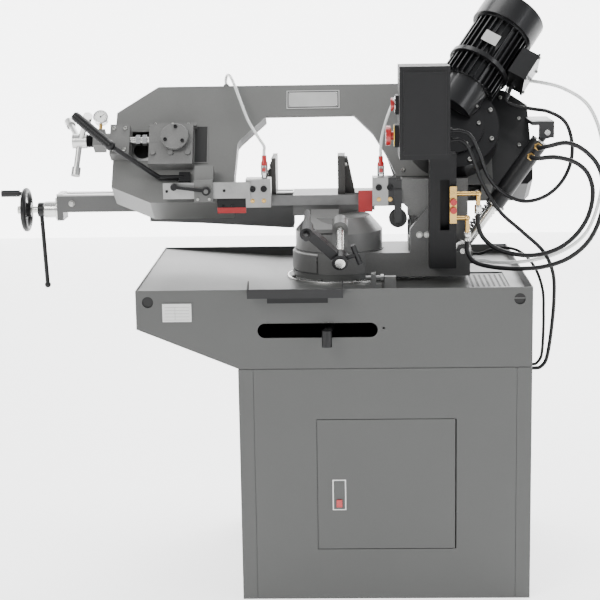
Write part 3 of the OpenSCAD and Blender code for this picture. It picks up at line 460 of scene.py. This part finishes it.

# ---------- details on the base ----------
# dark discs behind the casing holes: painted shade inside the holes
k = Kit("casing_hole_shade", "dark_print_seam_and_shade", "base", bevel=0)
for x in (-601, 342):
    k.lathe((x, -346.4, 797), OUT, [(0, 0), (0, 17), (0.4, 17), (0.4, 0)], 32)
k.done()
k = Kit("data_plate", "plate", "base")
k.box(-564, -490, -351.3, -350.9, 746, 793)
k.done()
k = Kit("data_plate_rivets", "steel", "base", bevel=0)
for x in (-561, -493):
    for z in (749, 790):
        k.lathe((x, -351.3, z), OUT, [(0, 0), (0, 1.6), (0.7, 1.2), (1, 0)], 12)
k.done()
k = Kit("data_plate_fields", "dark_print_seam_and_shade", "base", bevel=0)
for j in range(5):
    k.box(-558, -496, -351.5, -351.3, 751 + 8.2 * j, 751.5 + 8.2 * j)
k.box(-532, -531.5, -351.5, -351.3, 751, 784)
k.done()
k = Kit("turntable_rim", "steel", "base")
k.lathe((TURNTABLE_X, 0, 800.2), UP, [(0, 139), (0, 142.4), (5, 142.4), (6.2, 141.4), (6.2, 139), (0, 139)], 96)
k.done()
k = Kit("scale_ticks", "white", "base", bevel=0)
for j in range(46):
    a = math.radians(-160 + 3 * j)
    big = 6 if j % 5 == 0 else 3
    c, s = math.cos(a), math.sin(a)
    k.rod((TURNTABLE_X + 127 * c, 127 * s, 806.3), (TURNTABLE_X + (127 + big) * c, (127 + big) * s, 806.3),
          0.45, 6)
k.done()
k = Kit("bed_bolts", "zinc", "base")
for x in (-860, -680, -520, -300):
    k.hex_bolt((x, 85, 996), OUT, 13)
for z in (990, 1006):
    k.cap_screw((-902, 96, z), LEFT, 5)
    k.cap_screw((-902, 154, z), LEFT, 5)
k.done()
k = Kit("screw_bearing", "steel", "base")
k.lathe((-902, *SCREW_YZ), LEFT, [(0, 12), (0, 30), (7, 30), (8, 29), (8, 12), (0, 12)], 40)
k.done()
k = Kit("screw_thread", "steel", "vise_screw", bevel=0)
for j in range(160):
    x = -880 + 4 * j
    k.lathe((x, *SCREW_YZ), RIGHT, [(0, 9.0), (1, 9.9), (2.2, 9.9), (3.2, 9.0)], 20)
k.done()
k = Kit("handwheel_nut", "zinc", "vise_screw")
k.lathe((-1010, *SCREW_YZ), LEFT, [(0, 0), (0, 12), (9, 12), (10, 10.5), (10, 0)], 6)
k.done()
k = Kit("jaw_bolts", "zinc", "vise_jaw")
for x in (-360, -400):
    for y in (105, 145):
        k.cap_screw((x, y, 1030), UP, 6.5)
k.done()
k = Kit("jaw_face_screws", "dark_iron", "vise_jaw")
for y in (45, 95, 145):
    k.cap_screw((-298, y, 1100), LEFT, 5)
k.done()
k = Kit("fixed_jaw_bolts", "zinc", "base")
for y in (40, 75, 106):
    k.cap_screw((-97, y, 1100), RIGHT, 5)
k.done()
k = Kit("latch_backing", "white", "door")
k.box(-137, -102, -350.6, -350, 243, 325)
k.done()
k = Kit("door_hinge_caps", "zinc", "base")
for z in (130, 489):
    k.rod((177, -345.8, z), (177, -345.8, z + 6), 3.8)
k.done()
k = Kit("cable_glands", "plastic", "base")
for y in (-110, -65):
    k.lathe((375, y, 560), RIGHT, [(0, 0), (0, 14), (3, 14), (3, 10.6), (15.6, 10.6), (16, 10), (16, 0)], 24)
k.done()

# ---------- details on the swivel ----------
k = Kit("swivel_bolts", "zinc", "swivel")
for x in (100, 120):
    k.hex_bolt((x, -100, 925), OUT, 13)
k.done()
k = Kit("mitre_scale", "plate", "swivel", bevel=0)
for j in range(30):
    a, b = math.radians(182 + 2 * j), math.radians(184 + 2 * j)
    quad = [k.bm.verts.new((TURNTABLE_X + 122.5 * math.cos(t), 122.5 * math.sin(t), z)) for t, z in
            ((a, 858), (b, 858), (b, 877), (a, 877))]
    k.bm.faces.new(quad)
k.done()
k = Kit("mitre_marks", "dark_print_seam_and_shade", "swivel", bevel=0)
for j in range(31):
    a = math.radians(182 + 2 * j)
    at = (TURNTABLE_X + 122.6 * math.cos(a), 122.6 * math.sin(a))
    k.rod((*at, 858.5), (*at, 868 if j % 5 == 0 else 863), 0.4, 6)
k.done()
k = Kit("head_hinge_nut", "zinc", "swivel")
k.lathe((165, -100, 975), OUT, [(0, 0), (0, 17), (3, 17), (3, 0)], 28)
k.lathe((165, -103, 975), OUT, [(0, 0), (0, 13), (8, 13), (9.5, 11.5), (9.5, 0)], 6)
k.done()
k = Kit("lower_pin_caps", "steel", "swivel")
k.rod((215, -100, 880), (215, -104, 880), 7.5)
k.done()
k = Kit("box_glands", "zinc", "swivel")
for z in (1205, 1181):
    k.lathe((169, -156, z), RIGHT, [(0, 9.1), (0, 11.5), (4, 11.5), (4, 9.1), (0, 9.1)], 6)
k.done()
k = Kit("box_seam", "dark_print_seam_and_shade", "swivel", bevel=0)
k.box(51.5, 159.5, -300.6, -300, 1157.5, 1367.5)
k.done()
k = Kit("stop_collar", "yellow", "swivel")
k.lathe((31, -220, 1201), LEFT, [(0, 11.4), (0, 28), (1, 28), (1.8, 27), (1.8, 11.4), (0, 11.4)], 40)
k.done()
k = Kit("start_collar", "chrome", "swivel")
k.lathe((33, -220, 1280), LEFT, [(0, 12.4), (0, 21), (1.1, 21), (1.7, 20), (1.7, 12.4), (0, 12.4)], 36)
k.done()
k = Kit("hose_ferrules", "steel", "swivel")
for x, z in ((222, 918), (250, 990)):
    k.lathe((x, -166, z - 0.2), UP, [(0, 6.4), (0, 9.6), (3, 9.6), (3.6, 9.2), (8, 9.2), (8.6, 9.6), (20, 9.6),
                                            (22.4, 9.0), (22.4, 6.4), (0, 6.4)], 28)
k.done()
k = Kit("valve_knobs", "red", "swivel")
for z in (1000, 1022):
    k.lathe((185, -174, z), OUT, [(0, 0), (0, 4), (6, 4), (6, 9), (12, 9), (13, 8), (13, 0)], 12)
k.done()

# ---------- details on the head ----------
k = Kit("plate_bolts", "zinc", "saw_head", HEAD)
for x, v in ((60, 60), (375, 60), (375, 130), (378, 210), (330, 275)):
    k.cap_screw((x, -55, v), OUT, 5)
k.done()
k = Kit("gearbox_bolts", "zinc", "saw_head", HEAD)
k.screw_circle(DRIVE_X, -130, DRIVE_V, 112, 8, 22.5, 6)
k.screw_circle(DRIVE_X, -138, DRIVE_V, 70, 6, 0, 5)
k.done()
k = Kit("gearbox_cap", "plastic", "saw_head", HEAD)
k.lathe((CAP_X, -138, CAP_V), OUT, [(0, 0), (0, 38), (5, 38), (6.5, 36.5), (6.5, 25), (9, 23.5), (9, 0)], 48)
k.done()
k = Kit("gearbox_cap_bolts", "zinc", "saw_head", HEAD)
k.screw_circle(CAP_X, -144.5, CAP_V, 31, 6, 30, 3.6)
k.done()
k = Kit("oil_sight", "chrome", "saw_head", HEAD)
k.lathe((120, -130, 110), OUT, [(0, 0), (0, 14), (5, 14), (6, 12.5), (6, 9), (4.6, 8.6), (4.6, 0)], 32)
k.done()
k = Kit("name_plate", "plate", "saw_head", HEAD)
k.box(-256, -110, -56.2, -55, 250, 306)
k.done()
k = Kit("name_plate_border", "dark_print_seam_and_shade", "saw_head", HEAD, bevel=0)
for x0, x1, z0, z1 in ((-253, -113, 253, 255.5), (-253, -113, 300.5, 303), (-253, -250.5, 253, 303),
                       (-115.5, -113, 253, 303)):
    k.box(x0, x1, -56.5, -56.2, z0, z1)
k.done()
k = Kit("name_plate_rivets", "steel", "saw_head", HEAD, bevel=0)
for x in (-247, -119):
    for z in (259, 297):
        k.lathe((x, -56.2, z), OUT, [(0, 0), (0, 2.2), (0.9, 1.6), (1.3, 0)], 12)
k.done()
# a dark sheet on the head plate: painted shade of a recess
k = Kit("recess_shade", "dark_print_seam_and_shade", "saw_head", HEAD, bevel=0)
k.box(-505, -472, -57.6, -57, 91, 198)
k.done()
k = Kit("tension_cap", "iron", "tension_block", HEAD, bevel=0.6)
k.lathe((TENSION_X, -101.5, TENSION_V), OUT, [(0, 0), (0, 38), (9, 38), (10.5, 36.5), (10.5, 0)], 56)
k.done()
k = Kit("tension_cap_bolts", "black", "tension_block", HEAD)
k.screw_circle(TENSION_X, -112, TENSION_V, 27, 3, 85, 5)
k.done()
k = Kit("tension_nuts", "chrome", "tension_screw", HEAD)
for x in (-664, -646):
    k.lathe((x, *TENSION_SCREW), RIGHT, [(0, 9), (0, 15), (12, 15), (12, 9), (0, 9)], 6)
k.done()
k = Kit("tension_rail_bolts", "zinc", "saw_head", HEAD)
for x in (-612, -566, -522):
    k.cap_screw((x, -80, 195), OUT, 3.6)
for v in (112, 176):
    for x in (-722, -692):
        k.cap_screw((x, -95, v), OUT, 5)
k.done()
k = Kit("gauge_stem", "brass", "saw_head", HEAD)
k.lathe((GAUGE_X, -75, 174), UP, [(0, 0), (0, 9), (7, 9), (7, 5), (26, 5), (26, 0)], 6)
k.done()
k = Kit("gauge_case", "chrome", "saw_head", HEAD)
k.lathe((GAUGE_X, -66, GAUGE_V), OUT, [(0, 0), (0, 19), (1.5, 20), (17, 20), (18, 20.6), (20, 20.6),
                                       (20.6, 19.6),
                                (20.6, 18), (18.6, 17.6), (18.6, 0)], 44)
k.done()
k = Kit("gauge_face", "white", "saw_head", HEAD, bevel=0)
k.lathe((GAUGE_X, -84.6, GAUGE_V), OUT, [(0, 0), (0, 17.4), (0.3, 17.4), (0.3, 0)], 44)
k.done()
k = Kit("gauge_marks", "dark_print_seam_and_shade", "saw_head", HEAD, bevel=0)
for j in range(11):
    a = math.radians(-40 + 26 * j)
    c, s = math.cos(a), math.sin(a)
    k.rod((GAUGE_X + 13 * c, -85.0, GAUGE_V + 13 * s), (GAUGE_X + 16.4 * c, -85.0, GAUGE_V + 16.4 * s), 0.5, 6)
k.rod((GAUGE_X, -85.2, GAUGE_V), (-752, -85.2, 227), 0.6, 6)
k.rod((GAUGE_X, -84.9, GAUGE_V), (GAUGE_X, -86.4, GAUGE_V), 2.2, 12)
k.done()
k = Kit("tension_bellows", "rubber", "tension_screw", HEAD)
profile = [(0, 9.6)]
for j in range(5):
    profile += [(0.4 + 3.6 * j, 15.5), (2.2 + 3.6 * j, 18.5), (4.0 + 3.6 * j, 15.5)]
k.lathe((-798, *TENSION_SCREW), (1, 0, 0), profile + [(18.6, 9.6), (0, 9.6)], 32)
k.done()
k = Kit("tension_thread", "steel", "tension_screw", HEAD, bevel=0)
for j in range(12):
    k.lathe((-678 + 4 * j, *TENSION_SCREW), RIGHT, [(0, 9.0), (1, 9.8), (2, 9.8), (3, 9.0)], 20)
k.done()
k = Kit("guard_strip", "red_paint", "guide")
k.box(-440.3, -363.2, -69.6, -65.7, 984.7, 1000)
k.done()
k = Kit("guard_shade", "black", "guide")
k.box(-440.3, -363.2, -69.6, -65.7, 1000, 1024.3)
k.done()
k = Kit("guard_right", "red_paint", "saw_head")
k.box(-61.4, -24.2, -60.6, -51.6, 982.6, 1040.4)
k.done()
for body, x0, x1, name in (("guide", -363, -296, "left"), ("saw_head", -24, 40, "right")):
    k = Kit("guide_screws_" + name, "black", body)
    mid = (x0 + x1) / 2
    for x in (mid - 15, mid + 15):
        k.lathe((x, -75, 1050), OUT, [(0, 0), (0, 8.5), (5, 8.5), (6, 7.5), (6, 4.2), (3, 4), (3, 0)], 24)
    k.done()
    k = Kit("guide_adjusters_" + name, "brass", body)
    for x in (mid - 15, mid + 15):
        k.hex_bolt((x, -75, 1018), OUT, 9)
    k.done()
k = Kit("bar_screws", "black", "guide")
for x in (-574, -420):
    k.cap_screw((x, -81, 1047), OUT, 3.6)
k.cap_screw((-400, -69.8, 1004), OUT, 3.6)
k.cap_screw((-425, -69.8, 1004), OUT, 3.6)
k.done()
k = Kit("clamp_bolts", "zinc", "saw_head")
for x in (-490, -459):
    k.cap_screw((x, -90, 1026), OUT, 4)
k.done()
for body, x, z, name in (("guide", -313, 1076, "left"), ("saw_head", -1, 1070, "right")):
    k = Kit("valve_body_" + name, "chrome", body)
    k.lathe((x, -48, z), UP, [(0, 5.1), (0, 8), (8, 8), (8, 9.4), (34.5, 9.4), (34.5, 5.1), (0, 5.1)], 6)
    k.done()
    k = Kit("valve_knob_" + name, "red", body)
    k.lathe((x, -48, z), UP, [(34.6, 5.1), (34.6, 9), (42, 9), (46, 6.4), (60.8, 6.4), (60.8, 5.1),
                                     (34.6, 5.1)], 24)
    k.done()
    k = Kit("valve_lever_" + name, "red", body)
    k.box(x - 4.4, x + 4.4, -68, -57, z + 19.6, z + 28.4)
    k.done()
k = Kit("brush_hairs", "bristle", "brush", bevel=0)
for j in range(90):
    a = 2 * math.pi * j / 90
    for y in (-69, -62, -55, -48):
        b = a + 0.02 * y
        k.rod((BRUSH_X + 20 * math.cos(b), y, BRUSH_Z + 20 * math.sin(b)),
              (BRUSH_X + 24.3 * math.cos(b + 0.03), y, BRUSH_Z + 24.3 * math.sin(b + 0.03)), 0.9, 5)
k.done()
k = Kit("handle_grip_ribs", "rubber", "saw_head", HEAD, bevel=0)
p, q = Vector((-716, -188, 79)), Vector((-811, -203, 160))
for i in range(20):
    at = p + (q - p) * (0.12 + 0.042 * i)
    k.lathe(at, q - p, [(0, 12.3), (0.6, 13.4), (2.6, 13.4), (3.2, 12.3)], 28)
k.done()

# ---------- details on the motor; its lower fins leave a gap at one side ----------
FIN_FROM, FIN_TO, FIN_HALF, FIN_LOW, FIN_HIGH = 61, 80, 1.5, -34, 25.8
FIN_GAP_ABOVE = 60
k = Kit("motor_lower_fins", "motor_black", "saw_head", MOTOR, bevel=0.4)
for i in range(28):
    a = 2 * math.pi * i / 28
    c, s = math.cos(a), math.sin(a)
    if FIN_TO * s > FIN_GAP_ABOVE:
        continue
    p, q = Vector((FIN_FROM * c, FIN_FROM * s, 0)), Vector((FIN_TO * c, FIN_TO * s, 0))
    w = Vector((-s, c, 0)) * FIN_HALF
    low, high = Vector((0, 0, FIN_LOW)), Vector((0, 0, FIN_HIGH))
    vs = [k.bm.verts.new(v) for v in (p - w + low, q - w + low, q + w + low, p + w + low,
                                      p - w + high, q - w + high, q + w + high, p + w + high)]
    for f in ((0, 3, 2, 1), (4, 5, 6, 7), (0, 1, 5, 4), (1, 2, 6, 5), (2, 3, 7, 6), (3, 0, 4, 7)):
        k.bm.faces.new([vs[g] for g in f])
k.lathe((0, 0, -35), UP, [(0, 0), (0, 66.2), (60, 66.2), (60, 0)], 48)
k.done()
k = Kit("terminal_screws", "zinc", "saw_head", MOTOR)
for y in (-37, 37):
    for z in (49, 123):
        k.cap_screw((132.1, y, z), RIGHT, 4)
k.done()
k = Kit("motor_plate", "plate", "saw_head", MOTOR)
k.box(-22, 22, -81.4, -80.2, 70, 104)
k.done()

# ---------- details on the damper ----------
k = Kit("damper_fittings", "brass", "damper", DAMPER)
for z in (-44, -76):
    k.lathe((0, -23.5, z), OUT, [(0, 0), (0, 10.5), (6, 10.5), (6, 0)], 6)
    k.lathe((0, -29.5, z), OUT, [(0, 8.1), (0, 8.8), (6.6, 8.8), (6.6, 6.3), (0, 6.3)], 24)
k.done()
k = Kit("damper_rings", "steel", "damper", DAMPER)
for z in (-238, -32):
    k.lathe((0, 0, z), UP, [(0, 23), (0, 24.8), (5, 24.8), (5, 23), (0, 23)], 36)
k.done()
k = Kit("upper_pin_caps", "steel", "saw_head")
k.rod((437, -91, 1192), (437, -95, 1192), 7.5)
k.done()


# ---------- floor, backdrop and light ----------
def stage_plane(name, mat, size, at, **values):
    """a plane that isn't part of the object, with a plain shader"""
    bpy.ops.mesh.primitive_plane_add(size=size, location=at)
    o = bpy.context.object
    o.name = name
    m = bpy.data.materials.new(mat)
    m.use_nodes = True
    for key, value in values.items():
        m.node_tree.nodes["Principled BSDF"].inputs[key.replace("_", " ")].default_value = value
    o.data.materials.append(m)
    return o


stage_plane("floor", "pale floor", 30, (0, 0, 0), Base_Color=(0.97, 0.97, 0.97, 1), Roughness=0.9,
            Specular_IOR_Level=0.1, Emission_Color=(1, 1, 1, 1), Emission_Strength=1.6)
wall = stage_plane("wall", "lit wall", 1, (0, 6, 3), Base_Color=(0.9, 0.9, 0.9, 1),
                   Emission_Color=(1, 1, 1, 1), Emission_Strength=4.0)
wall.scale = (24, 14, 1)
wall.rotation_euler = (math.radians(90), 0, 0)
world = bpy.data.worlds.new("studio")
world.use_nodes = True
world.node_tree.nodes["Background"].inputs["Color"].default_value = (0.95, 0.97, 1.0, 1)
world.node_tree.nodes["Background"].inputs["Strength"].default_value = 0.6
bpy.context.scene.world = world


def area(name, at, target, size, power, color=(1, 1, 1)):
    d = bpy.data.lights.new(name, "AREA")
    d.shape = "RECTANGLE"
    d.size, d.size_y = size
    d.energy = power
    d.color = color
    o = bpy.data.objects.new(name, d)
    bpy.context.scene.collection.objects.link(o)
    o.location = at
    o.rotation_euler = (Vector(target) - Vector(at)).to_track_quat("-Z", "Y").to_euler()


area("key", (-2.6, -3.4, 3.6), (0, 0, 0.9), (2.2, 1.6), 150, (1, 0.99, 0.97))
area("fill", (3.4, -2.6, 2.0), (0, 0, 0.9), (1.6, 2.4), 60, (0.97, 0.98, 1))
area("top", (0.2, 0.4, 3.8), (0, 0, 0.9), (2.6, 1.8), 90)
area("rim", (1.6, 3.2, 2.6), (0, 0, 1.1), (2.2, 1.2), 70)
